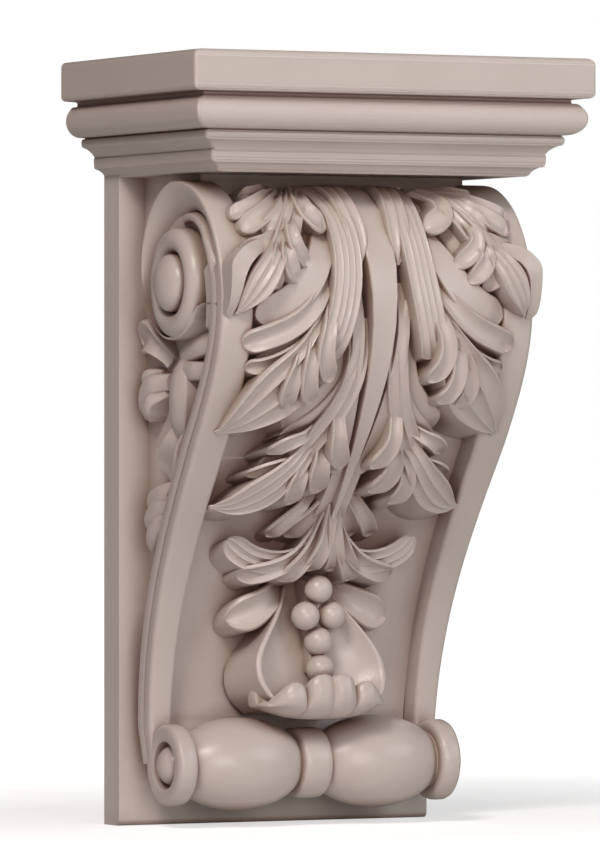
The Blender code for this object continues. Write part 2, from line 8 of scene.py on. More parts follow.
import bmesh
import bpy
import numpy as np
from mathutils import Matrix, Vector

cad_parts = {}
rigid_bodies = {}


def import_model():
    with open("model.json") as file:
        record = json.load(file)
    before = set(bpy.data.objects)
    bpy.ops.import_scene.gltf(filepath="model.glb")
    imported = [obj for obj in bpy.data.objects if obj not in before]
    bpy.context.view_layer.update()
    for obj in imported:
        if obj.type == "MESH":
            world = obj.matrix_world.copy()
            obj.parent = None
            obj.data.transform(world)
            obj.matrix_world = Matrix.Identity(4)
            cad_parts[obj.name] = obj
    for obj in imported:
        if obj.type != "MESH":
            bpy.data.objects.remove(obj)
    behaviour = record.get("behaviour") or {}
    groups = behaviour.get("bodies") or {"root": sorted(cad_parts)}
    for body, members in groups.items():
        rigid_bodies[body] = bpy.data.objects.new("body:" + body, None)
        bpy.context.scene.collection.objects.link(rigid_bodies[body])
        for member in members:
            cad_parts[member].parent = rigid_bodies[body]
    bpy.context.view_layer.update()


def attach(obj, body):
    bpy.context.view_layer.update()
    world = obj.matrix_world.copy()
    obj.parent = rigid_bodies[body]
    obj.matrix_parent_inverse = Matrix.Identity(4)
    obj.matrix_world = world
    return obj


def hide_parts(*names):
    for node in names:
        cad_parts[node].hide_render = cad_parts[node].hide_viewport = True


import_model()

LOG = logging.getLogger("corbel")
MM = 0.001

Pair = tuple[float, float]
Pairs = tuple[Pair, ...]
Triple = tuple[float, float, float]


def deselect_all() -> None:
    """Leave edit mode and select nothing."""
    if bpy.context.object is not None and bpy.context.object.mode != "OBJECT":
        bpy.ops.object.mode_set(mode="OBJECT")
    for item in bpy.context.view_layer.objects:
        item.select_set(False)


def activate(item: bpy.types.Object) -> None:
    """Select one object alone and make it the active one."""
    deselect_all()
    item.select_set(True)
    bpy.context.view_layer.objects.active = item


def mesh_object(name: str, verts: np.ndarray, faces: list[tuple[int, ...]]) -> bpy.types.Object:
    """Make an object from corner places and faces.

    Args:
        name: The name of the object and its mesh.
        verts: One row of three for each corner, in metres.
        faces: Corner numbers of each face.

    Returns:
        The new object, its faces turned outward.
    """
    mesh = bpy.data.meshes.new(name)
    mesh.from_pydata([tuple(map(float, vert)) for vert in verts], [], faces)
    work = bmesh.new()
    work.from_mesh(mesh)
    bmesh.ops.recalc_face_normals(work, faces=work.faces)
    work.to_mesh(mesh)
    work.free()
    made = bpy.data.objects.new(name, mesh)
    bpy.context.scene.collection.objects.link(made)
    return made


def ring_solid(name: str, rings: np.ndarray) -> bpy.types.Object:
    """Close a stack of rings into a solid, with a fan of faces over each end.

    Args:
        name: The name of the object.
        rings: Places in metres, as rings by corners by three.

    Returns:
        The closed solid.
    """
    levels, around = rings.shape[:2]
    verts = np.vstack([rings.reshape(-1, 3), rings[0].mean(axis=0), rings[-1].mean(axis=0)])
    faces = []
    for i in range(levels - 1):
        for j in range(around):
            k = (j + 1) % around
            faces.append((i * around + j, i * around + k, (i + 1) * around + k, (i + 1) * around + j))
    start, end = levels * around, levels * around + 1
    top = (levels - 1) * around
    for j in range(around):
        k = (j + 1) % around
        faces.append((start, k, j))
        faces.append((end, top + j, top + k))
    return mesh_object(name, verts, faces)


def smooth_step(value: np.ndarray | float) -> np.ndarray | float:
    """Ease a share from nought to one."""
    share = np.clip(value, 0.0, 1.0)
    return share * share * (3 - 2 * share)


class Form(Enum):
    """Where the ridges of a lobe run across it, how deep its channels are and how far its rims fall."""

    ROUND = ((0.0,), 0.0, 0.36)
    PLAIN = ((-0.86, 0.86), 0.05, 0.06)
    CUPPED = ((-0.78, 0.78), 0.62, 0.16)
    REEDED = ((-0.84, 0.02, 0.84), 0.62, 0.12)
    FOLDED = ((-0.90, -0.26, 0.34, 0.90), 0.62, 0.10)
    FLUTED = ((-0.90, -0.44, -0.02, 0.38, 0.90), 0.40, 0.12)

    def height(self, across: np.ndarray) -> np.ndarray:
        """Height of the lobe over its crest, as shares of its half width.

        Args:
            across: Shares from the middle, minus one to one.

        Returns:
            Heights at those shares, nought at the ridges.
        """
        ridges, depth, fall = self.value
        low = np.zeros_like(across)
        for left, right in zip(ridges, ridges[1:]):
            inside = (across > left) & (across < right)
            part = (across - left) / (right - left)
            low = np.where(inside, -depth * (right - left) / 2 * (1 - (2 * part - 1) ** 2), low)
        beyond = np.clip((np.abs(across) - abs(ridges[-1])) / (1 - abs(ridges[-1])), 0, 1)
        return low - fall * beyond ** 2


class Tip(Enum):
    """How a lobe ends: over how many half widths it closes, and how it closes."""

    BLUNT = (1.25, 2.0, 0.5)
    POINTED = (3.0, 2.0, 0.9)
    DRAWN = (16.5, 0.8, 1.0)
    OPEN = (0.5, 2.0, 0.5)

    def close(self, left: np.ndarray) -> np.ndarray:
        """Narrow a lobe towards its end.

        Args:
            left: How many half widths are left before the end.

        Returns:
            Shares of the width that the tip leaves there.
        """
        reach, power, root = self.value
        part = np.clip(1 - left / reach, 0, 1)
        return np.clip(1 - part ** power, 0, 1) ** root


@dataclass(frozen=True)
class Lobe:
    """One carved lobe, its places as shares across and along the form that carries it."""

    path: Pairs
    half_width: float
    lifts: Triple
    form: Form = Form.CUPPED
    tip: Tip = Tip.BLUNT
    neck: float = 0.70


@dataclass
class ScrollFront:
    """The S-shaped front of the scroll, measured along its ribs."""

    half: float = 0.079
    half_foot: float = 0.074
    top_z: float = 0.119
    neck: float = 0.075
    reach: float = 0.122
    shoulder: float = 0.057
    waist_drop: float = 0.054
    waist_reach: float = 0.042
    foot_reach: float = 0.0365
    foot_z: float = -0.130
    foot_pull: float = 0.090
    recess: float = 0.014
    recess_foot: float = 0.011
    arc_handle: float = 0.5523
    wall_drop: float = 0.0045
    wall_draft: float = 0.0006
    root_depth: float = 0.005
    margin: float = 0.0004
    length: float = field(init=False)

    def __post_init__(self) -> None:
        """Work out the curve of the ribs and the recessed field behind it."""
        shoulder = self.top_z - self.shoulder
        swell = self.reach - self.neck
        top = self.curve([(-self.neck, self.top_z), (-self.neck - swell * self.arc_handle, self.top_z),
                          (-self.reach, shoulder + self.shoulder * self.arc_handle),
                          (-self.reach, shoulder)], 160)
        low = self.curve([(-self.reach, shoulder), (-self.reach, shoulder - self.waist_drop),
                          (-self.waist_reach, self.foot_z + self.foot_pull),
                          (-self.foot_reach, self.foot_z)], 320)
        self.front = np.vstack([top, low[1:]])
        steps = np.linalg.norm(np.diff(self.front, axis=0), axis=1)
        self.length = float(steps.sum())
        self.share = np.concatenate([[0.0], np.cumsum(steps)]) / self.length
        tangent = np.gradient(self.front, self.share, axis=0)
        self.tangent = tangent / np.linalg.norm(tangent, axis=1)[:, None]
        depth = self.recess + (self.recess_foot - self.recess) * self.share
        inward = np.stack([-self.tangent[:, 1], self.tangent[:, 0]], axis=1)
        self.field = self.front + inward * depth[:, None]

    @staticmethod
    def curve(points: list[Pair], count: int) -> np.ndarray:
        """Follow a cubic curve in the side plane.

        Args:
            points: Its two ends, with the two handles between them.
            count: How many points it gets.

        Returns:
            Depth and height of each point.
        """
        start, pull, push, end = [np.array(point, float) for point in points]
        s = np.linspace(0, 1, count)[:, None]
        return (1 - s) ** 3 * start + 3 * (1 - s) ** 2 * s * pull + 3 * (1 - s) * s * s * push + s ** 3 * end

    def half_at(self, z: np.ndarray) -> np.ndarray:
        """Half width of the scroll at a height."""
        down = np.clip(z / self.foot_z, 0, 1)
        return self.half + (self.half_foot - self.half) * down

    def at(self, share: np.ndarray, lift: np.ndarray) -> tuple[np.ndarray, np.ndarray]:
        """Find the rib front at shares of its length.

        Args:
            share: Shares of the length, from the top.
            lift: Distance off the front, outward.

        Returns:
            Depths and heights.
        """
        y = np.interp(share, self.share, self.front[:, 0])
        z = np.interp(share, self.share, self.front[:, 1])
        ty = np.interp(share, self.share, self.tangent[:, 0])
        tz = np.interp(share, self.share, self.tangent[:, 1])
        return y + tz * lift, z - ty * lift

    def field_depth(self, z: np.ndarray) -> np.ndarray:
        """Depth of the recessed field at a height."""
        return np.interp(z, self.field[::-1, 1], self.field[::-1, 0])

    def scales(self) -> Triple:
        """Sizes that the shares across, along and off the front stand for."""
        return self.half, self.length, self.recess

    def place(self, across: np.ndarray, along: np.ndarray, lift: np.ndarray) -> np.ndarray:
        """Lift places off the rib front, kept inside the sides.

        Args:
            across: Distances from the middle plane.
            along: Distances down the rib front.
            lift: Distances off it.

        Returns:
            Places, three to a row.
        """
        y, z = self.at(along / self.length, lift)
        limit = self.half_at(z) - self.margin
        return np.stack([np.clip(across, -limit, limit), y, z], axis=-1)

    def foot(self, edge: np.ndarray, outward: np.ndarray) -> np.ndarray:
        """Set the feet of carved walls behind the recessed field.

        Args:
            edge: The upper edge of a wall.
            outward: The way out of the lobe, across and along.

        Returns:
            Places of the feet.
        """
        z = edge[:, 2] - self.wall_drop
        limit = self.half_at(z) - self.margin * 2
        x = np.clip(edge[:, 0] + outward[:, 0] * self.wall_draft, -limit, limit)
        return np.stack([x, np.maximum(self.field_depth(z), edge[:, 1]) + self.root_depth, z], axis=-1)


@dataclass
class SidePanel:
    """A recessed side panel: places are forward of the eye and below it."""

    side: int
    front: ScrollFront
    eye_y: float = -0.071
    eye_z: float = 0.0728
    recess: float = 0.012
    root_depth: float = 0.004
    draft: float = 0.0008

    def panel_at(self, z: np.ndarray) -> np.ndarray:
        """Half width between the recessed side panels at a height."""
        return self.front.half_at(z) - self.recess

    def scales(self) -> Triple:
        """Places on a panel are millimetres."""
        return MM, MM, MM

    def place(self, across: np.ndarray, along: np.ndarray, lift: np.ndarray) -> np.ndarray:
        """Places lifted off the panel, given by depth and height."""
        y = across * self.side
        return np.stack([self.side * (self.panel_at(along) + lift), y, along], axis=-1)

    def foot(self, edge: np.ndarray, outward: np.ndarray) -> np.ndarray:
        """Set the feet of carved walls inside the panel.

        Args:
            edge: The upper edge of a wall.
            outward: The way out of the lobe, across and along.

        Returns:
            Places of the feet.
        """
        x = self.side * (self.panel_at(edge[:, 2]) - self.root_depth)
        y = edge[:, 1] + self.side * outward[:, 0] * self.draft
        return np.stack([x, y, edge[:, 2] + outward[:, 1] * self.draft], axis=-1)


@dataclass
class FootSpace:
    """The space before the foot of the scroll, for the petals of the cup. Places are millimetres."""

    front: ScrollFront
    base_y: float = -0.036
    root_depth: float = 0.004
    wall_drop: float = 0.004

    def scales(self) -> Triple:
        """Places before the foot are millimetres."""
        return MM, MM, MM

    def place(self, across: np.ndarray, along: np.ndarray, lift: np.ndarray) -> np.ndarray:
        """Places straight out from the foot of the ribs."""
        return np.stack([across, self.base_y - lift, along], axis=-1)

    def foot(self, edge: np.ndarray, outward: np.ndarray) -> np.ndarray:
        """Set the feet of carved walls inside the scroll.

        Args:
            edge: The upper edge of a wall.
            outward: The way out of the lobe, across and along; not used here.

        Returns:
            Places of the feet.
        """
        z = edge[:, 2] - self.wall_drop
        y = self.front.field_depth(np.maximum(z, self.front.foot_z)) + self.root_depth
        return np.stack([edge[:, 0], np.broadcast_to(y, z.shape), z], axis=-1)


@dataclass
class Carver:
    """Carves lobes as closed solids whose walls run back into the ground."""

    stations: int = 24
    across_fine: int = 13
    across_wide: int = 21
    wide_lobe: float = 0.0072
    rim_radius: float = 0.0006
    nose_fall: float = 0.0016
    root_sink: float = 0.0030
    closed_share: float = 0.14
    full_at: float = 0.72

    def widths(self, lobe: Lobe, s: np.ndarray, length: float, half: float) -> np.ndarray:
        """Shares of the half width along a lobe, from its neck to its tip."""
        body = lobe.neck + (1 - lobe.neck) * smooth_step(s / self.full_at)
        return body * np.maximum(lobe.tip.close((1 - s) * length / half), self.closed_share)

    def carve(self, name: str, lobe: Lobe, surface: ScrollFront | SidePanel | FootSpace,
              side: int = 1) -> bpy.types.Object:
        """Sweep one lobe along its path on a surface.

        Args:
            name: The name of the object.
            lobe: The lobe to carve.
            surface: What carries it.
            side: Minus one or one, for the half that it is on.

        Returns:
            The closed solid of the lobe.
        """
        wide, long, rise = surface.scales()
        scale = np.array([wide * side, long])
        knots = np.array(lobe.path) * scale
        q = np.linspace(0, 1, self.stations)
        s = 1 - (1 - q) ** 1.75
        weights = np.stack([-4.5 * (s - 1 / 3) * (s - 2 / 3) * (s - 1), 13.5 * s * (s - 2 / 3) * (s - 1),
                            -13.5 * s * (s - 1 / 3) * (s - 1), 4.5 * s * (s - 1 / 3) * (s - 2 / 3)], axis=1)
        spine = weights @ knots
        way = np.gradient(spine, s, axis=0)
        way = way / np.linalg.norm(way, axis=1)[:, None]
        cross = np.stack([-way[:, 1], way[:, 0]], axis=1)
        root, middle, tip = [value * rise for value in lobe.lifts]
        lift = 2 * (s - 0.5) * (s - 1) * root - 4 * s * (s - 1) * middle + 2 * s * (s - 0.5) * tip
        lift = lift - self.nose_fall * smooth_step((s - 0.84) / 0.16)
        lift = lift - self.root_sink * (1 - smooth_step(s / 0.32))
        half = lobe.half_width * wide
        length = float(np.linalg.norm(np.diff(spine, axis=0), axis=1).sum())
        reach = half * self.widths(lobe, s, length, half)
        count = self.across_wide if half > self.wide_lobe else self.across_fine
        even = np.sin(np.linspace(-1, 1, count) * math.pi / 2 * 0.86) / math.sin(math.pi / 2 * 0.86)
        ridges = np.array(lobe.form.value[0])
        v = np.unique(np.concatenate([even, ridges - 0.04, ridges, ridges + 0.04]).round(5))
        heights = lobe.form.height(v)[None, :] * reach[:, None]
        inset = np.clip((1 - np.abs(v))[None, :] * reach[:, None], 0, self.rim_radius)
        edge_fall = self.rim_radius - np.sqrt(self.rim_radius ** 2 - (self.rim_radius - inset) ** 2)
        flat = spine[:, None, :] + cross[:, None, :] * (v[None, :, None] * reach[:, None, None])
        top = surface.place(flat[..., 0], flat[..., 1], lift[:, None] + heights - edge_fall)
        first = surface.foot(top[:, 0], -cross)
        last = surface.foot(top[:, -1], cross)
        return ring_solid(name, np.concatenate([first[:, None], top, last[:, None]], axis=1))


@dataclass
class CapMoulding:
    """The moulded cap, returned round three sides."""

    width: float = 0.203
    depth: float = 0.140
    top: float = 0.175
    mitre_round: float = 0.0014

    def levels(self) -> list[Pair]:
        """List the levels of the cap from its underside up.

        Returns:
            Distances below the top, with how far each level is set in, in millimetres.
        """
        rows = [(53.0, 23.0), (52.5, 22.2), (51.6, 21.8), (50.8, 21.2), (49.8, 20.0), (49.2, 18.8),
                (48.9, 17.9), (48.5, 17.0), (47.9, 16.7), (44.4, 16.5), (43.8, 16.6), (43.4, 17.0),
                (42.8, 16.5), (41.6, 15.6), (40.4, 14.2), (39.6, 12.8), (39.2, 11.6), (38.8, 10.8),
                (38.2, 10.4), (36.8, 10.2), (35.6, 10.4), (35.1, 10.9), (34.9, 12.0), (34.6, 12.0)]
        for k in range(25):
            turn = math.radians(4 + 131 * k / 24)
            rows.append((27.1 + 7.4 * math.cos(turn), 9.6 - 7.2 * math.sin(turn)))
        rows += [(21.2, 4.9), (20.7, 5.5), (20.4, 6.4), (20.3, 8.0), (18.9, 8.2), (18.2, 7.6), (18.0, 4.0)]
        for k in range(1, 6):
            turn = math.radians(90 * k / 5)
            rows.append((18.0 - 2.2 * (1 - math.cos(turn)), 2.4 * (1 - math.sin(turn))))
        for k in range(6):
            turn = math.radians(90 * k / 5)
            rows.append((2.6 - 2.6 * math.sin(turn), 2.6 * (1 - math.cos(turn))))
        return rows

    def build(self) -> bpy.types.Object:
        """Raise the cap level by level from a plane.

        Returns:
            The cap as a closed solid.
        """
        rows = [(self.top - drop * MM, inset * MM) for drop, inset in self.levels()]
        deselect_all()
        bpy.ops.mesh.primitive_plane_add(size=2, location=(0, 0, 0))
        made = bpy.context.object
        made.name = "cap"
        bpy.ops.object.mode_set(mode="EDIT")
        bpy.ops.mesh.select_all(action="SELECT")
        work = bmesh.from_edit_mesh(made.data)
        half, front, height = self.width / 2 - rows[0][1], self.depth - rows[0][1], rows[0][0]
        for vert in work.verts:
            vert.co = Vector((math.copysign(half, vert.co.x), -front if vert.co.y < 0 else 0.0, height))
        bmesh.update_edit_mesh(made.data)
        for z, inset in rows[1:]:
            new_half, new_front = self.width / 2 - inset, self.depth - inset
            bpy.ops.mesh.extrude_region_move(TRANSFORM_OT_translate={"value": (0, 0, z - height)})
            bpy.ops.transform.resize(value=(new_half / half, new_front / front, 1), center_override=(0, 0, z))
            half, front, height = new_half, new_front, z
        work = bmesh.from_edit_mesh(made.data)
        for edge in work.edges:
            low, high = (vert.co for vert in edge.verts)
            steep = min(low.y, high.y) < -0.02 and abs(low.x) > 0.02 and low.x * high.x > 0
            edge.select_set(steep and abs(low.z - high.z) + abs(low.x - high.x) > 1e-6)
        work.select_flush_mode()
        bmesh.update_edit_mesh(made.data)
        bpy.ops.mesh.bevel(offset=self.mitre_round, segments=3, affect="EDGES")
        bpy.ops.mesh.select_all(action="SELECT")
        bpy.ops.mesh.normals_make_consistent(inside=False)
        bpy.ops.object.mode_set(mode="OBJECT")
        return made


@dataclass
class WallPlate:
    """The flat plate against the wall."""

    half: float = 0.0797
    thickness: float = 0.016
    bottom: float = -0.175
    top: float = 0.1245
    edge_round: float = 0.0028

    def build(self) -> bpy.types.Object:
        """Size a cube as the plate and round its front edges.

        Returns:
            The plate as a closed solid.
        """
        deselect_all()
        middle = (self.top + self.bottom) / 2
        bpy.ops.mesh.primitive_cube_add(size=1, location=(0, -self.thickness / 2, middle),
                                        scale=(self.half * 2, self.thickness, self.top - self.bottom))
        made = bpy.context.object
        made.name = "plate"
        bpy.ops.object.transform_apply(location=True, rotation=True, scale=True)
        bpy.ops.object.mode_set(mode="EDIT")
        work = bmesh.from_edit_mesh(made.data)
        for edge in work.edges:
            front = all(vert.co.y < -self.thickness / 2 for vert in edge.verts)
            above = all(vert.co.z > middle for vert in edge.verts)
            edge.select_set(front and not above)
        work.select_flush_mode()
        bmesh.update_edit_mesh(made.data)
        bpy.ops.mesh.bevel(offset=self.edge_round, segments=4, affect="EDGES")
        bpy.ops.object.mode_set(mode="OBJECT")
        return made


@dataclass
class ScrollBody:
    """The scroll between the side panels, with its two ribs."""

    front: ScrollFront
    panel_recess: float = 0.012
    rib_width: float = 0.016
    rib_width_foot: float = 0.0115
    inside: float = -0.008
    cap_bottom: float = 0.122
    roll_y: float = -0.047
    roll_z: float = -0.1463

    def core(self) -> bpy.types.Object:
        """The body between the side panels.

        Returns:
            The closed solid behind the recessed field.
        """
        front = self.front
        share = np.linspace(0.005, 1.0, 90)
        y = np.interp(share, front.share, front.field[:, 0])
        z = np.interp(share, front.share, front.field[:, 1])
        outline = [(self.inside, self.cap_bottom + 0.002), (-front.neck, self.cap_bottom + 0.002)]
        outline += list(zip(y, z))
        outline += [(self.roll_y + 0.008, self.roll_z - 0.008), (self.inside, self.roll_z - 0.008)]
        rings = []
        for x in (-1.0, 1.0):
            rings.append([(x * (front.half_at(z) - self.panel_recess), y, z) for y, z in outline])
        verts = np.array(rings).reshape(-1, 3)
        count = len(outline)
        faces = [(j, (j + 1) % count, count + (j + 1) % count, count + j) for j in range(count)]
        faces += [tuple(range(count)), tuple(range(count, 2 * count))]
        return mesh_object("core", verts, faces)

    def section(self, width: float) -> list[Pair]:
        """Draw the section of a rib.

        Args:
            width: Width of the rib, in metres.

        Returns:
            Places in from its outer face and back from its front, in millimetres.
        """
        width = width / MM
        rows = [(width, 15.5), (width, 1.9), (width - 0.4, 0.9), (width - 1.2, 0.25), (width - 2.4, 0.0)]
        rows += [(width * 0.5, -0.15), (2.6, 0.0), (1.2, 0.25), (0.4, 0.9), (0.0, 2.2)]
        rows += [(0.0, 5.4), (0.25, 6.0), (1.5, 6.6), (1.6, 7.1), (0.5, 7.7), (0.05, 9.0), (0.0, 11.0)]
        rows += [(0.3, 13.0), (1.2, 14.8), (3.0, 16.1), (6.5, 17.0), (17.0, 17.2)]
        return rows

    def rib(self, side: int) -> bpy.types.Object:
        """One rib down the front of the scroll into the end wheel.

        Args:
            side: Minus one for the left rib, one for the right.

        Returns:
            The closed solid of the rib.
        """
        shares = np.linspace(0.22, 1.0, 84)
        rings = []
        for share in shares:
            fade = max(0.0, share * 2 - 1)
            width = self.rib_width + (self.rib_width_foot - self.rib_width) * fade
            ring = []
            for inset, back in self.section(width):
                y, z = self.front.at(share, -back * MM)
                half = self.front.half_at(z)
                ring.append((side * (half - inset * MM), float(y), float(z)))
            rings.append(ring)
        foot = []
        for (x, y, _), (inset, back) in zip(rings[-1], self.section(self.rib_width_foot)):
            foot.append((x * 0.972, -self.front.foot_reach + back * MM * 0.9, self.roll_z))
        rings.append(foot)
        return ring_solid("rib", np.array(rings))

    def volute(self, side: int) -> bpy.types.Object:
        """The wound end of a rib with its ring and eye.

        Args:
            side: Minus one for the left volute, one for the right.

        Returns:
            The closed solid of the volute.
        """
        turns = np.radians(np.linspace(-90, 270, 120, endpoint=False))
        rows = [self.volute_row(turn) for turn in turns]
        rings = []
        for level in range(len(rows[0])):
            ring = []
            for turn, row in zip(turns, rows):
                r, x = row[level]
                ring.append((side * x * MM, -0.071 - math.cos(turn) * r * MM, 0.0728 + math.sin(turn) * r * MM))
            rings.append(ring)
        return ring_solid("volute", np.array(rings))

    def outline(self, turn: float) -> float:
        """Measure from the eye to the outer contour of the volute.

        Args:
            turn: The turn about the eye, in radians.

        Returns:
            The distance, in millimetres.
        """
        degrees = math.degrees(turn)
        eye = np.array([-0.071, 0.0728])
        if -12 < degrees < 96:
            offset = self.front.front - eye
            angles = np.degrees(np.arctan2(offset[:, 1], -offset[:, 0]))
            order = np.argsort(angles)
            return float(np.interp(degrees, angles[order], np.linalg.norm(offset, axis=1)[order])) / MM
        return float(np.interp(degrees, [-90, -36, -24, -15.5, -14, -12, 96, 118, 144, 180, 225, 270],
                               [25.6, 25.8, 28.0, 34.5, 44.0, 50.5, 46.3, 43.0, 38.5, 33.0, 28.6, 25.6]))

    def volute_row(self, turn: float) -> list[Pair]:
        """Draw the volute from its eye outward at one turn.

        Args:
            turn: The turn about the eye, in radians.

        Returns:
            Radii and distances from the middle plane, in millimetres.
        """
        degrees = math.degrees(turn)
        outer = self.outline(turn)
        face = self.front.half / MM
        rows = [(13.0 * math.sin(math.radians(a)), face + 1.2 + 6.4 * math.cos(math.radians(a)))
                for a in (3, 12, 22, 32, 42, 52, 62, 71, 80, 90)]
        low = float(np.interp(degrees, [-90, 0, 90, 150, 200, 270], [2.6, 2.6, 3.0, 4.6, 4.6, 2.6]))
        rows.append((12.9, face - 9.0))
        for a in (180, 165, 145, 125, 105, 85, 65, 45, 25, 5, -12):
            turn_tube = math.radians(a)
            rows.append((19.4 + 5.6 * math.cos(turn_tube), face - low + 5.9 * math.sin(turn_tube)))
        inner = min(25.1, outer - 0.4)
        ridge = float(np.interp(degrees, [6, 45, 90], [38.1, 35.2, 28.5]))
        rise = float(np.interp(degrees, [-10, 2, 30, 85, 100], [0.0, 1.0, 1.0, 0.5, 0.0]))
        swell = float(np.interp(degrees, [6, 50, 90], [4.6, 3.2, 2.2]))
        floor = float(np.interp(degrees, [-90, 0, 90, 180, 270], [8.0, 8.0, 8.0, 7.0, 7.5]))
        rows.append((inner, face - floor))
        for part in (-1.0, -0.7, -0.35, 0.0, 0.35, 0.7, 1.0):
            bump = rise * (floor - 0.1) * math.sqrt(max(0.0, 1 - abs(part) ** 3))
            r = max(inner + 0.05 * (part + 2), ridge + swell * part)
            rows.append((min(r, outer - 0.35 + 0.02 * part), face - floor + bump))
        start = min(max(inner + 0.2, ridge + swell + 0.5), outer - 0.3)
        sink = float(np.interp(degrees, [-50, -13, 4, 35, 90, 180, 270], [9.0, 8.0, 0.3, 3.0, floor, floor, floor]))
        for part in (0.0, 0.15, 0.32, 0.5, 0.68, 0.84):
            rows.append((start + (outer - 1.4 - start) * part, face - sink * (1 - part) ** 1.7))
        rows += [(outer - 1.4, face), (outer - 0.7, face - 0.2), (outer - 0.2, face - 0.8), (outer, face - 2.0)]
        rows += [(outer, face - 14.0), (outer - 0.3, face - 15.2), (outer - 1.2, face - 16.0),
                 (outer * 0.5, face - 16.0)]
        return rows


@dataclass
class Roll:
    """The turned roll at the foot: dished end wheels, two eggs and a disc."""

    y: float = -0.047
    z: float = -0.1463
    steps: int = 72

    def profile(self) -> list[Pair]:
        """Draw one half of the roll, from the outside in.

        Returns:
            Distances along the axis and radii, in millimetres.
        """
        rows = [(74.4, 0.0)]
        rows += [(67.0 + 7.4 * math.cos(a), 9.2 * math.sin(a)) for a in np.radians([14, 28, 42, 56, 70, 84])]
        rows += [(67.4, 9.4), (67.4, 10.2), (69.6, 10.5), (71.6, 11.0), (72.3, 12.0), (72.5, 14.5)]
        rows += [(72.4, 16.6), (71.6, 18.0), (70.4, 18.6), (68.0, 18.7), (65.5, 18.6), (63.6, 17.9)]
        rows += [(62.7, 16.6), (62.5, 14.6), (62.6, 12.8)]
        for k in range(25):
            x = 62.2 - (62.2 - 7.4) * k / 24
            rows.append((x, 21.3 * math.sqrt(1 - ((x - 35.0) / 33.4) ** 2)))
        rows += [(7.2, 13.4), (6.9, 15.0), (6.0, 15.8), (4.0, 16.2), (0.0, 16.4)]
        return rows

    def build(self) -> bpy.types.Object:
        """Spin the profile of the roll about its axis.

        Returns:
            The closed solid of the roll.
        """
        half = self.profile()
        line = [(-x, r) for x, r in half] + [(x, r) for x, r in reversed(half[:-1])]
        mesh = bpy.data.meshes.new("roll")
        verts = [(x * MM, self.y - r * MM, self.z) for x, r in line]
        mesh.from_pydata(verts, [(k, k + 1) for k in range(len(verts) - 1)], [])
        made = bpy.data.objects.new("roll", mesh)
        bpy.context.scene.collection.objects.link(made)
        activate(made)
        bpy.ops.object.mode_set(mode="EDIT")
        bpy.ops.mesh.select_all(action="SELECT")
        bpy.ops.mesh.spin(steps=self.steps, angle=2 * math.pi, center=(0, self.y, self.z), axis=(1, 0, 0))
        bpy.ops.mesh.select_all(action="SELECT")
        bpy.ops.mesh.remove_doubles(threshold=1e-6)
        bpy.ops.mesh.normals_make_consistent(inside=False)
        bpy.ops.object.mode_set(mode="OBJECT")
        return made


@dataclass
class BeadDrop:
    """The beads that drop into the cup above the roll."""

    radius: float = 0.0066
    reach: float = 0.0605
    first_z: float = -0.0665
    web: float = 0.0040

    def build(self) -> list[bpy.types.Object]:
        """Set five rounded beads with the web behind them.

        Returns:
            The beads and their web.
        """
        step = self.radius * 2
        places = [(0.0, 0.0, 0.0), (-0.52, 0.92, 0.0006), (0.52, 0.92, -0.0006), (0.0, 1.80, 0.0),
                  (0.02, 2.76, 0.0015)]
        parts = []
        for across, down, ahead in places:
            deselect_all()
            spot = (across * step, -self.reach - ahead, self.first_z - down * step)
            bpy.ops.mesh.primitive_uv_sphere_add(segments=36, ring_count=20, radius=self.radius, location=spot)
            bead = bpy.context.object
            bpy.ops.object.transform_apply(location=True, rotation=True, scale=True)
            parts.append(bead)
        deselect_all()
        low, high = self.first_z - 2.9 * step, self.first_z + self.web
        bpy.ops.mesh.primitive_cube_add(size=1, location=(0, -0.042, (low + high) / 2),
                                        scale=(self.web * 2, 0.034, high - low))
        bpy.ops.object.transform_apply(location=True, rotation=True, scale=True)
        parts.append(bpy.context.object)
        return parts


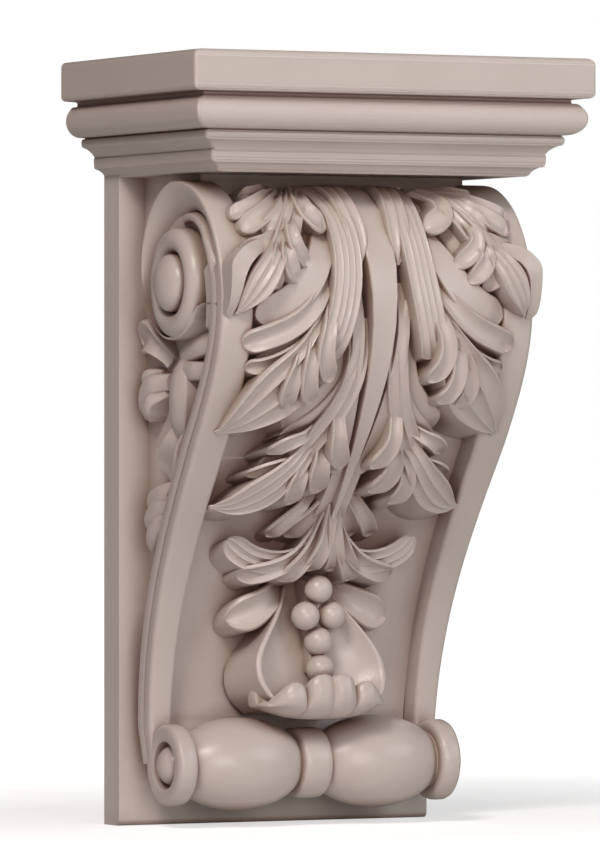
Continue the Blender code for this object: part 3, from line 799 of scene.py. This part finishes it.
@dataclass
class Cup:
    """The leafy cup above the roll: a hollow shell with a curled lip and side petals."""

    front: ScrollFront
    carver: Carver
    heights: tuple[float, ...] = (-58, -64, -71, -77, -83, -91, -98, -106, -112, -117, -121)
    halves: tuple[float, ...] = (7, 10, 14, 18, 22.8, 28.8, 32.6, 33.4, 31.4, 27.6, 22)
    rims: tuple[float, ...] = (42, 46, 51, 55, 58, 60.5, 62.5, 65.5, 68.5, 70.5, 69)
    hollows: tuple[float, ...] = (1.5, 3, 5, 6.5, 8, 9, 10, 11.5, 13, 12, 8)
    stations: tuple[float, ...] = (0, 2, 4, 8, 10.5, 11.8, 12.6, 13.6, 15.5, 18, 20.5, 23, 25.5, 27.5, 29)
    lip_tops: tuple[float, ...] = (-106.2, -105.2, -104.8, -105.2, -107.0, -109.2, -111.5, -110.0, -108.8,
                                   -108.2, -108.6, -110.4, -113.0, -115.4, -117.0)
    lip_fronts: tuple[float, ...] = (77.2, 78.7, 79.2, 78.8, 77.6, 76.2, 74.6, 76.2, 77.0, 77.2, 76.8, 75.8,
                                     74.2, 72.4, 70.6)

    def shell(self) -> bpy.types.Object:
        """The hollow of the cup behind its lip.

        Returns:
            The closed solid of the shell.
        """
        z = np.linspace(self.heights[0], self.heights[-1], 40)
        order = np.array(self.heights[::-1])
        rows = [np.interp(z, order, np.array(row[::-1], float)) for row in (self.halves, self.rims, self.hollows)]
        for _ in range(3):
            rows = [np.concatenate([row[:1], (row[:-2] + row[1:-1] + row[2:]) / 3, row[-1:]]) for row in rows]
        half, rim, hollow = rows
        v = np.sin(np.linspace(-1, 1, 49) * math.pi / 2)
        sink = np.clip(1 - (np.abs(v) / 0.93) ** 2.6, 0, 1)
        x = half[:, None] * v[None, :]
        edge = np.clip((1 - np.abs(v)) / 0.05, 0, 1)
        y = -rim[:, None] + hollow[:, None] * sink[None, :] + 1.2 * (1 - edge)[None, :] ** 2
        top = np.stack([x, y, np.broadcast_to(z[:, None], x.shape)], axis=-1) * MM
        left, right = top[:, 0].copy(), top[:, -1].copy()
        for foot in (left, right):
            foot[:, 2] -= 0.004
            foot[:, 1] = -0.030
        return ring_solid("shell", np.concatenate([left[:, None], top, right[:, None]], axis=1))

    def lip(self) -> bpy.types.Object:
        """The scalloped lip that curls up before the hollow.

        Returns:
            The closed solid of the lip.
        """
        across = np.concatenate([-29 - np.linspace(3.0, 0.0, 9)[:-1], np.linspace(-29, 29, 117),
                                 29 + np.linspace(0.0, 3.0, 9)[1:]])
        stations = np.array(self.stations)
        tops = np.interp(np.abs(across), stations, self.lip_tops)
        fronts = -np.interp(np.abs(across), stations, self.lip_fronts)
        turns = np.linspace(0, 1, 40, endpoint=False)
        rings = []
        for x, top, front in zip(across, tops, fronts):
            deep = -126.0 + 5.0 * (min(abs(x), 29) / 29) ** 3
            drop = top - deep
            corners = np.array([
                (-48, deep + 11), (front + 13, deep + 9), (front + 8.5, top - drop * 0.42),
                (front + 6.0, top - drop * 0.16), (front + 4.6, top - 0.6), (front + 3.2, top),
                (front + 1.8, top - 0.8), (front + 0.6, top - drop * 0.20), (front, top - drop * 0.42),
                (front + 1.2, top - drop * 0.66), (front + 5.5, deep + 2.4), (front + 12, deep + 0.3),
                (front + 20, deep + 0.4), (-48, deep + 3)])
            left = math.sqrt(max(0.01, 1 - max(0.0, abs(x) - 29) ** 2 / 9.2))
            heart = np.array([front + 9, (top + deep) / 2])
            rings.append(self.rounded(heart + (corners - heart) * left, turns, x))
        return ring_solid("lip", np.array(rings))

    @staticmethod
    def rounded(corners: np.ndarray, turns: np.ndarray, x: float) -> list[Triple]:
        """Draw a smooth closed loop through corners.

        Args:
            corners: Depth and height of each corner, in millimetres.
            turns: Shares of the way round.
            x: Where the loop is across, in millimetres.

        Returns:
            Places along the loop, in metres.
        """
        count = len(corners)
        loop = []
        for turn in turns:
            k = int(turn * count)
            t = turn * count - k
            p0, p1, p2, p3 = (corners[(k + step) % count] for step in (-1, 0, 1, 2))
            spot = 0.5 * (2 * p1 + (p2 - p0) * t + (2 * p0 - 5 * p1 + 4 * p2 - p3) * t * t
                          + (3 * p1 - p0 - 3 * p2 + p3) * t ** 3)
            loop.append((x * MM, spot[0] * MM, spot[1] * MM))
        return loop

    def build(self) -> list[bpy.types.Object]:
        """Make the shell, its lip and the petals beside it.

        Returns:
            The parts of the cup.
        """
        space = FootSpace(self.front)
        petal = Lobe(((-10.0, -64.0), (-20.5, -71.0), (-30.0, -76.5), (-41.0, -80.5)), 8.6, (10, 18, 14),
                     Form.CUPPED, Tip.BLUNT, 0.6)
        parts = [self.shell(), self.lip()]
        for side in (-1, 1):
            parts.append(self.carver.carve("petal", petal, space, side))
        return parts


@dataclass
class Acanthus:
    """The leaves of the scroll front, mirrored left and right."""

    front: ScrollFront
    carver: Carver

    midrib = Lobe(((0.0, 0.030), (0.0, 0.25), (0.0, 0.48), (0.0, 0.705)), 0.112, (0.20, 0.42, 0.18),
                  Form.PLAIN, Tip.DRAWN, 0.80)

    grounds = (
        Lobe(((0.40, 0.060), (0.56, 0.130), (0.66, 0.185), (0.72, 0.240)), 0.190, (0.10, 0.35, 0.25),
             Form.ROUND, Tip.BLUNT, 0.7),
        Lobe(((0.22, 0.060), (0.34, 0.200), (0.50, 0.330), (0.64, 0.440)), 0.180, (-0.10, 0.10, 0.05),
             Form.ROUND, Tip.BLUNT, 0.7),
        Lobe(((0.16, 0.300), (0.22, 0.420), (0.34, 0.520), (0.46, 0.600)), 0.150, (-0.10, 0.15, 0.05),
             Form.ROUND, Tip.BLUNT, 0.7),
    )

    strips = (
        Lobe(((0.190, 0.030), (0.170, 0.095), (0.145, 0.155), (0.120, 0.215)), 0.074, (0.16, 0.46, 0.30),
             Form.REEDED, Tip.POINTED, 0.9),
        Lobe(((0.150, 0.240), (0.142, 0.330), (0.118, 0.430), (0.075, 0.560)), 0.044, (0.12, 0.26, 0.30),
             Form.PLAIN, Tip.OPEN, 0.9),
    )

    top_leaf = (
        Lobe(((0.376, 0.071), (0.504, 0.132), (0.606, 0.179), (0.714, 0.220)), 0.072, (0.36, 0.71, 0.79),
             Form.REEDED, Tip.OPEN, 0.8),
        Lobe(((0.461, 0.042), (0.617, 0.082), (0.711, 0.092), (0.764, 0.088)), 0.048, (0.14, 0.36, 0.14)),
        Lobe(((0.483, 0.069), (0.669, 0.111), (0.795, 0.131), (0.895, 0.136)), 0.048, (0.29, 0.57, 0.36)),
        Lobe(((0.477, 0.078), (0.636, 0.128), (0.748, 0.150), (0.858, 0.166)), 0.063, (0.36, 0.64, 0.43)),
        Lobe(((0.474, 0.093), (0.577, 0.138), (0.656, 0.160), (0.736, 0.171)), 0.060, (0.50, 0.79, 0.50)),
        Lobe(((0.577, 0.166), (0.699, 0.186), (0.793, 0.195), (0.883, 0.195)), 0.054, (0.64, 0.71, 0.36)),
        Lobe(((0.680, 0.187), (0.895, 0.212), (0.975, 0.249), (0.950, 0.301)), 0.062, (0.64, 0.79, 0.07),
             Form.PLAIN, Tip.POINTED, 0.6),
        Lobe(((0.632, 0.184), (0.737, 0.221), (0.835, 0.254), (0.924, 0.290)), 0.088, (0.79, 0.93, 0.29),
             Form.FOLDED, Tip.POINTED, 0.55),
        Lobe(((0.626, 0.184), (0.700, 0.214), (0.704, 0.233), (0.651, 0.252)), 0.056, (0.79, 0.93, 0.36)),
        Lobe(((0.595, 0.179), (0.637, 0.206), (0.621, 0.224), (0.547, 0.243)), 0.056, (0.79, 0.93, 0.50)),
        Lobe(((0.538, 0.139), (0.590, 0.180), (0.562, 0.202), (0.467, 0.218)), 0.052, (0.71, 0.93, 0.43)),
        Lobe(((0.384, 0.074), (0.449, 0.127), (0.410, 0.150), (0.313, 0.160)), 0.068, (0.43, 0.71, 0.43)),
    )

    middle_leaf = (
        Lobe(((0.300, 0.036), (0.222, 0.165), (0.262, 0.270), (0.356, 0.350)), 0.092, (0.20, 0.52, 0.50),
             Form.FLUTED, Tip.OPEN, 0.9),
        Lobe(((0.264, 0.131), (0.415, 0.220), (0.575, 0.268), (0.791, 0.294)), 0.094, (0.14, 0.36, 0.14),
             Form.PLAIN, Tip.BLUNT, 0.8),
        Lobe(((0.294, 0.205), (0.467, 0.283), (0.668, 0.316), (0.863, 0.338)), 0.072, (0.21, 0.50, 0.21),
             Form.CUPPED, Tip.BLUNT, 0.7),
        Lobe(((0.295, 0.254), (0.441, 0.316), (0.621, 0.354), (0.826, 0.374)), 0.050, (0.29, 0.50, 0.21),
             Form.CUPPED, Tip.BLUNT, 0.8),
        Lobe(((0.310, 0.268), (0.476, 0.350), (0.675, 0.418), (0.898, 0.488)), 0.195, (0.36, 0.71, 0.21),
             Form.FOLDED, Tip.POINTED, 0.32),
        Lobe(((0.483, 0.324), (0.548, 0.363), (0.576, 0.394), (0.545, 0.430)), 0.056, (0.50, 0.86, 0.64)),
        Lobe(((0.414, 0.309), (0.474, 0.350), (0.469, 0.386), (0.403, 0.419)), 0.056, (0.50, 0.93, 0.71)),
        Lobe(((0.310, 0.268), (0.379, 0.315), (0.387, 0.348), (0.313, 0.385)), 0.060, (0.43, 0.86, 0.71)),
        Lobe(((0.183, 0.268), (0.158, 0.358), (0.261, 0.430), (0.496, 0.489)), 0.035, (0.29, 0.29, 0.21),
             Form.ROUND, Tip.POINTED, 0.8),
        Lobe(((0.210, 0.337), (0.219, 0.400), (0.344, 0.446), (0.482, 0.481)), 0.105, (0.0, 0.14, 0.07),
             Form.PLAIN, Tip.BLUNT, 0.8),
    )

    lower_leaf = (
        Lobe(((0.142, 0.297), (0.149, 0.394), (0.257, 0.467), (0.385, 0.529)), 0.074, (0.21, 0.43, 0.50),
             Form.REEDED, Tip.OPEN, 0.9),
        Lobe(((0.278, 0.469), (0.402, 0.481), (0.488, 0.494), (0.557, 0.520)), 0.052, (0.43, 0.64, 0.36)),
        Lobe(((0.329, 0.517), (0.454, 0.529), (0.552, 0.542), (0.639, 0.563)), 0.050, (0.43, 0.57, 0.29)),
        Lobe(((0.249, 0.484), (0.412, 0.536), (0.580, 0.589), (0.800, 0.625)), 0.118, (0.43, 0.71, 0.21),
             Form.FOLDED, Tip.POINTED, 0.5),
        Lobe(((0.293, 0.520), (0.345, 0.547), (0.353, 0.576), (0.322, 0.613)), 0.062, (0.43, 0.79, 0.43)),
        Lobe(((0.213, 0.494), (0.236, 0.524), (0.222, 0.554), (0.165, 0.591)), 0.070, (0.43, 0.79, 0.43)),
        Lobe(((0.185, 0.439), (0.178, 0.476), (0.152, 0.503), (0.092, 0.536)), 0.062, (0.57, 0.86, 0.71)),
        Lobe(((0.104, 0.610), (0.200, 0.638), (0.274, 0.665), (0.335, 0.694)), 0.056, (-0.21, -0.07, -0.29)),
        Lobe(((0.005, 0.598), (0.070, 0.632), (0.145, 0.663), (0.218, 0.694)), 0.068, (-0.14, 0.0, -0.29)),
        Lobe(((0.059, 0.481), (0.032, 0.542), (0.017, 0.608), (0.034, 0.676)), 0.080, (0.07, 0.14, -0.21),
             Form.PLAIN, Tip.BLUNT, 0.8),
    )

    foot_leaf = (
        Lobe(((0.0, 0.610), (0.110, 0.698), (0.355, 0.722), (0.612, 0.690)), 0.082, (0.10, 0.32, 0.0),
             Form.FOLDED, Tip.BLUNT, 0.5),
        Lobe(((0.020, 0.655), (0.200, 0.712), (0.360, 0.737), (0.500, 0.756)), 0.070, (0.20, 0.46, 0.05)),
        Lobe(((0.012, 0.640), (0.115, 0.700), (0.185, 0.735), (0.222, 0.763)), 0.066, (0.25, 0.54, 0.12)),
        Lobe(((0.0, 0.620), (0.035, 0.680), (0.062, 0.713), (0.071, 0.742)), 0.060, (0.30, 0.62, 0.25)),
    )

    def build(self) -> list[bpy.types.Object]:
        """Carve the midrib once and every other lobe on both sides.

        Returns:
            The lobes of the front.
        """
        parts = [self.carver.carve("midrib", self.midrib, self.front)]
        tiers = (self.grounds, self.strips, self.top_leaf, self.middle_leaf, self.lower_leaf, self.foot_leaf)
        for tier in tiers:
            for lobe in tier:
                for side in (-1, 1):
                    parts.append(self.carver.carve("leaf", lobe, self.front, side))
        return parts


@dataclass
class SideSprig:
    """The small sprig on each side panel. Its places are depth and height in millimetres."""

    front: ScrollFront
    carver: Carver

    lobes = (
        Lobe(((-46, 37), (-38, 46), (-29, 49), (-19, 45)), 8.0, (4, 8, 4), Form.CUPPED, Tip.BLUNT, 0.6),
        Lobe(((-90, 46), (-80, 45), (-70, 42), (-59, 39)), 6.0, (3, 6, 4), Form.ROUND, Tip.POINTED, 0.9),
        Lobe(((-86, 33), (-78, 33), (-70, 33), (-61, 32)), 4.6, (6, 7, 6), Form.ROUND, Tip.BLUNT, 0.9),
        Lobe(((-62, 42), (-66, 30), (-65, 17), (-58, 4)), 8.6, (5, 10, 6), Form.ROUND, Tip.OPEN, 0.8),
        Lobe(((-63, 10), (-58, -2), (-51, -12), (-41, -19)), 11.5, (7, 8, 4), Form.CUPPED, Tip.BLUNT, 0.5),
        Lobe(((-44, 28), (-36, 27), (-28, 22), (-25, 11)), 5.6, (5, 8, 5), Form.ROUND, Tip.BLUNT, 0.7),
        Lobe(((-42, 24), (-37, 20), (-33, 16), (-31, 10)), 4.2, (5, 9, 6), Form.ROUND, Tip.BLUNT, 0.7),
        Lobe(((-36, 31), (-31, 31), (-27, 30), (-23, 29)), 3.8, (4, 6, 5), Form.ROUND, Tip.BLUNT, 0.8),
        Lobe(((-50, -20), (-42, -23), (-33, -26), (-25, -27)), 5.2, (4, 7, 4), Form.ROUND, Tip.BLUNT, 0.8),
        Lobe(((-50, -24), (-41, -29), (-32, -34), (-24, -38)), 5.4, (4, 8, 5), Form.ROUND, Tip.BLUNT, 0.8),
        Lobe(((-48, -28), (-41, -36), (-34, -43), (-27, -48)), 5.4, (4, 9, 5), Form.ROUND, Tip.BLUNT, 0.8),
        Lobe(((-50, -28), (-47, -37), (-42, -45), (-36, -52)), 5.0, (4, 8, 4), Form.CUPPED, Tip.BLUNT, 0.7),
    )

    def build(self) -> list[bpy.types.Object]:
        """Carve the sprig on both side panels.

        Returns:
            The lobes of both sprigs.
        """
        parts = []
        for side in (-1, 1):
            panel = SidePanel(side, self.front)
            for lobe in self.lobes:
                parts.append(self.carver.carve("sprig", lobe, panel, side))
        return parts


@dataclass(frozen=True)
class CastSkin:
    """The satin skin of cast polyurethane, with painted shade, warmer and darker, in its hollows and a painted
    highlight on its crests.
    """

    name: str = "moulded_skin"
    pale: Triple = (0.600, 0.540, 0.500)
    deep: Triple = (0.540, 0.475, 0.436)
    # Colour of the painted shade that darkens and warms hollows and creases.
    hollow: Triple = (0.220, 0.108, 0.072)
    # Colour of the painted highlight that pales crests and edges.
    painted_highlight: Triple = (0.780, 0.725, 0.690)
    roughness: float = 0.31
    cloud_scale: float = 22.0
    # Reach, range and strength of the painted shade, read from ambient occlusion.
    painted_shade_reach: float = 0.014
    painted_shade_range: Pair = (0.18, 0.82)
    painted_shade_most: float = 0.85
    # Range and strength of the painted highlight, read from pointiness.
    painted_highlight_range: Pair = (0.56, 0.68)
    painted_highlight_most: float = 0.55
    grain_scale: float = 900.0
    grain_height: float = 0.00022
    grain_strength: float = 0.5

    def material(self) -> bpy.types.Material:
        """Make the node material of the skin.

        Returns:
            The material.
        """
        skin = bpy.data.materials.new(self.name)
        skin.use_nodes = True
        nodes, links = skin.node_tree.nodes, skin.node_tree.links
        shader = nodes["Principled BSDF"]
        shader.inputs["Roughness"].default_value = self.roughness
        shader.inputs["Specular IOR Level"].default_value = 0.5
        place = nodes.new("ShaderNodeTexCoord")
        cloud = nodes.new("ShaderNodeTexNoise")
        cloud.inputs["Scale"].default_value = self.cloud_scale
        cloud.inputs["Detail"].default_value = 3.0
        links.new(place.outputs["Object"], cloud.inputs["Vector"])
        tint = nodes.new("ShaderNodeMix")
        tint.data_type = "RGBA"
        tint.inputs["A"].default_value = (*self.deep, 1.0)
        tint.inputs["B"].default_value = (*self.pale, 1.0)
        links.new(cloud.outputs["Fac"], tint.inputs["Factor"])
        # Painted shade: ambient occlusion mixes the hollow colour in where hollows and creases lie in shade.
        shade = nodes.new("ShaderNodeAmbientOcclusion")
        shade.samples = 8
        shade.inputs["Distance"].default_value = self.painted_shade_reach
        spread = nodes.new("ShaderNodeMapRange")
        spread.inputs["From Min"].default_value = self.painted_shade_range[0]
        spread.inputs["From Max"].default_value = self.painted_shade_range[1]
        spread.inputs["To Min"].default_value = self.painted_shade_most
        spread.inputs["To Max"].default_value = 0.0
        links.new(shade.outputs["AO"], spread.inputs["Value"])
        painted_shade = nodes.new("ShaderNodeMix")
        painted_shade.data_type = "RGBA"
        painted_shade.inputs["B"].default_value = (*self.hollow, 1.0)
        links.new(spread.outputs["Result"], painted_shade.inputs["Factor"])
        links.new(tint.outputs["Result"], painted_shade.inputs["A"])
        # Painted highlight: pointiness mixes the pale crest colour onto convex edges and crests.
        shape = nodes.new("ShaderNodeNewGeometry")
        crest = nodes.new("ShaderNodeMapRange")
        crest.inputs["From Min"].default_value = self.painted_highlight_range[0]
        crest.inputs["From Max"].default_value = self.painted_highlight_range[1]
        crest.inputs["To Max"].default_value = self.painted_highlight_most
        links.new(shape.outputs["Pointiness"], crest.inputs["Value"])
        painted_highlight = nodes.new("ShaderNodeMix")
        painted_highlight.data_type = "RGBA"
        painted_highlight.inputs["B"].default_value = (*self.painted_highlight, 1.0)
        links.new(crest.outputs["Result"], painted_highlight.inputs["Factor"])
        links.new(painted_shade.outputs["Result"], painted_highlight.inputs["A"])
        links.new(painted_highlight.outputs["Result"], shader.inputs["Base Color"])
        grain = nodes.new("ShaderNodeTexNoise")
        grain.inputs["Scale"].default_value = self.grain_scale
        grain.inputs["Detail"].default_value = 3.0
        grain.inputs["Roughness"].default_value = 0.55
        links.new(place.outputs["Object"], grain.inputs["Vector"])
        bump = nodes.new("ShaderNodeBump")
        bump.inputs["Strength"].default_value = self.grain_strength
        bump.inputs["Distance"].default_value = self.grain_height
        links.new(grain.outputs["Fac"], bump.inputs["Height"])
        links.new(bump.outputs["Normal"], shader.inputs["Normal"])
        return skin


@dataclass
class Casting:
    """The whole corbel as one casting."""

    skin: CastSkin = field(default_factory=CastSkin)
    smooth_angle: float = 38.0

    def parts(self) -> list[bpy.types.Object]:
        """Build every form of the casting.

        Returns:
            The closed solids that the casting is united from.
        """
        front = ScrollFront()
        carver = Carver()
        body = ScrollBody(front)
        made = [body.core(), CapMoulding().build(), WallPlate().build(), Roll().build()]
        for side in (-1, 1):
            made += [body.rib(side), body.volute(side)]
        LOG.info("body: %d forms", len(made))
        made += Acanthus(front, carver).build()
        made += SideSprig(front, carver).build()
        made += Cup(front, carver).build()
        made += BeadDrop().build()
        LOG.info("with carving: %d forms", len(made))
        return made

    @staticmethod
    def keep_whole(mesh: bpy.types.Mesh) -> None:
        """Keep the casting itself and drop closed voids and specks left by the union.

        Args:
            mesh: The united mesh.
        """
        work = bmesh.new()
        work.from_mesh(mesh)
        left, parts = set(work.verts), []
        while left:
            stack = [left.pop()]
            part = list(stack)
            while stack:
                for edge in stack.pop().link_edges:
                    for vert in edge.verts:
                        if vert in left:
                            left.remove(vert)
                            stack.append(vert)
                            part.append(vert)
            parts.append(part)
        parts.sort(key=len)
        for part in parts[:-1]:
            bmesh.ops.delete(work, geom=part, context="VERTS")
        work.to_mesh(mesh)
        work.free()

    def build(self) -> bpy.types.Object:
        """Unite the forms, smooth them and dress the casting.

        Returns:
            The finished piece.
        """
        made = self.parts()
        casting = made[0]
        operands = bpy.data.collections.new("operands")
        bpy.context.scene.collection.children.link(operands)
        for part in made[1:]:
            for holder in list(part.users_collection):
                holder.objects.unlink(part)
            operands.objects.link(part)
        activate(casting)
        union = casting.modifiers.new("union", "BOOLEAN")
        union.operation = "UNION"
        union.operand_type = "COLLECTION"
        union.collection = operands
        union.solver = "MANIFOLD"
        bpy.ops.object.modifier_apply(modifier=union.name)
        for part in made[1:]:
            bpy.data.objects.remove(part, do_unlink=True)
        bpy.data.collections.remove(operands)
        casting.name = "corbel_casting"
        casting.data.name = "corbel_casting"
        self.keep_whole(casting.data)
        bpy.ops.object.shade_smooth_by_angle(angle=math.radians(self.smooth_angle))
        even = casting.modifiers.new("even_normals", "WEIGHTED_NORMAL")
        even.keep_sharp = True
        bpy.ops.object.modifier_apply(modifier=even.name)
        casting.data.materials.clear()
        casting.data.materials.append(self.skin.material())
        return casting


@dataclass
class Studio:
    """The pale floor, the soft lights and the camera."""

    floor_z: float = -0.175
    floor_glow: float = 0.57
    glow_range: Pair = (0.15, 0.60)
    world_strength: float = 0.05
    camera_place: Triple = (-1.4774, -2.9603, 0.0080)
    camera_way: Triple = (0.4517, 0.8922, 0.0)
    lens: float = 300.05

    def floor(self) -> None:
        """A wide pale floor under the corbel."""
        deselect_all()
        bpy.ops.mesh.primitive_plane_add(size=12, location=(0, 0, self.floor_z - 0.0002))
        floor = bpy.context.object
        floor.name = "floor"
        pale = bpy.data.materials.new("floor_white")
        pale.use_nodes = True
        shader = pale.node_tree.nodes["Principled BSDF"]
        shader.inputs["Base Color"].default_value = (0.86, 0.86, 0.86, 1.0)
        shader.inputs["Roughness"].default_value = 0.9
        shader.inputs["Emission Color"].default_value = (1.0, 1.0, 1.0, 1.0)
        nodes, links = pale.node_tree.nodes, pale.node_tree.links
        place = nodes.new("ShaderNodeTexCoord")
        away = nodes.new("ShaderNodeVectorMath")
        away.operation = "LENGTH"
        links.new(place.outputs["Object"], away.inputs[0])
        fade = nodes.new("ShaderNodeMapRange")
        fade.inputs["From Min"].default_value = self.glow_range[0]
        fade.inputs["From Max"].default_value = self.glow_range[1]
        fade.inputs["To Min"].default_value = self.floor_glow
        fade.inputs["To Max"].default_value = 1.0
        links.new(away.outputs["Value"], fade.inputs["Value"])
        path = nodes.new("ShaderNodeLightPath")
        glow = nodes.new("ShaderNodeMath")
        glow.operation = "MULTIPLY"
        links.new(path.outputs["Is Camera Ray"], glow.inputs[0])
        links.new(fade.outputs["Result"], glow.inputs[1])
        links.new(glow.outputs["Value"], shader.inputs["Emission Strength"])
        floor.data.materials.append(pale)

    def lamp(self, name: str, place: Triple, size: float, power: float, colour: Triple = (1, 1, 1)) -> None:
        """Hang a square lamp that faces the corbel.

        Args:
            name: The name of the lamp.
            place: Where it hangs.
            size: Its side, in metres.
            power: Its power, in watts.
            colour: Its colour.
        """
        data = bpy.data.lights.new(name, "AREA")
        data.size = size
        data.energy = power
        data.color = colour
        lamp = bpy.data.objects.new(name, data)
        bpy.context.scene.collection.objects.link(lamp)
        lamp.location = place
        lamp.rotation_euler = (Vector((0, -0.06, 0)) - Vector(place)).to_track_quat("-Z", "Y").to_euler()

    def world(self) -> None:
        """Soft light from all round, with a white ground behind."""
        world = bpy.data.worlds.new("studio")
        bpy.context.scene.world = world
        world.use_nodes = True
        nodes, links = world.node_tree.nodes, world.node_tree.links
        light = nodes["Background"]
        light.inputs["Color"].default_value = (1.0, 0.84, 0.78, 1.0)
        light.inputs["Strength"].default_value = self.world_strength
        white = nodes.new("ShaderNodeBackground")
        white.inputs["Color"].default_value = (1.0, 1.0, 1.0, 1.0)
        white.inputs["Strength"].default_value = 1.0
        path = nodes.new("ShaderNodeLightPath")
        mix = nodes.new("ShaderNodeMixShader")
        links.new(path.outputs["Is Camera Ray"], mix.inputs["Fac"])
        links.new(light.outputs["Background"], mix.inputs[1])
        links.new(white.outputs["Background"], mix.inputs[2])
        links.new(mix.outputs["Shader"], nodes["World Output"].inputs["Surface"])

    def camera(self) -> None:
        """The camera at the angle of the photograph."""
        data = bpy.data.cameras.new("camera")
        data.lens = self.lens
        data.clip_end = 50.0
        camera = bpy.data.objects.new("camera", data)
        bpy.context.scene.collection.objects.link(camera)
        camera.location = self.camera_place
        camera.rotation_euler = Vector(self.camera_way).to_track_quat("-Z", "Y").to_euler()
        bpy.context.scene.camera = camera

    def build(self) -> None:
        """Set the whole studio."""
        self.camera()
        self.floor()
        self.lamp("key", (-1.60, -1.75, 1.85), 0.7, 43.0, (1.0, 0.90, 0.86))
        self.lamp("front_fill", (-0.62, -2.91, 0.42), 1.2, 27.0, (1.0, 0.95, 0.92))
        self.lamp("right_fill", (1.81, -2.16, 1.03), 1.2, 15.0, (0.93, 0.98, 1.0))
        self.world()
        bpy.context.scene.view_settings.view_transform = "Standard"


def main() -> None:
    """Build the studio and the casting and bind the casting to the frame."""
    logging.basicConfig(level=logging.INFO, format="%(name)s: %(message)s")
    Studio().build()
    casting = Casting().build()
    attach(casting, "root")
    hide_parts("corbel")
    LOG.info("casting: %d faces", len(casting.data.polygons))


if __name__ == "__main__":
    main()
